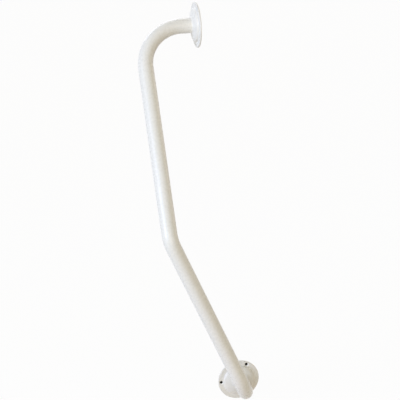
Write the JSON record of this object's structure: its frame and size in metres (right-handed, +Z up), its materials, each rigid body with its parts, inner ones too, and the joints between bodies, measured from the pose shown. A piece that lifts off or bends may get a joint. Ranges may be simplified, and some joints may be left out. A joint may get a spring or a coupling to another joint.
{
  "type": "newel post grab bar",
  "caption": "White coated bent steel grab rail that leads the hand round a newel post, with a square bend and a screw-fixed round flange at each end.",
  "frame": {"origin": "centre of the lower flange's back face, where it is screwed to the front of the post", "axes": "+Z up, +Y into the post behind the lower flange, +X into the side face behind the upper flange"},
  "size_m": [0.1794, 0.2277, 0.7023],
  "materials": {
    "coated_tube": "glossy off-white powder coat over steel tube",
    "coated_flange": "glossy off-white powder coat over pressed steel",
    "coated_weld": "glossy off-white powder coat over a weld fillet"
  },
  "bodies": {
    "root": {"rail_tube": "coated_tube", "lower_flange": "coated_flange", "lower_weld": "coated_weld", "upper_flange": "coated_flange", "upper_weld": "coated_weld"}
  },
  "joints": []
}
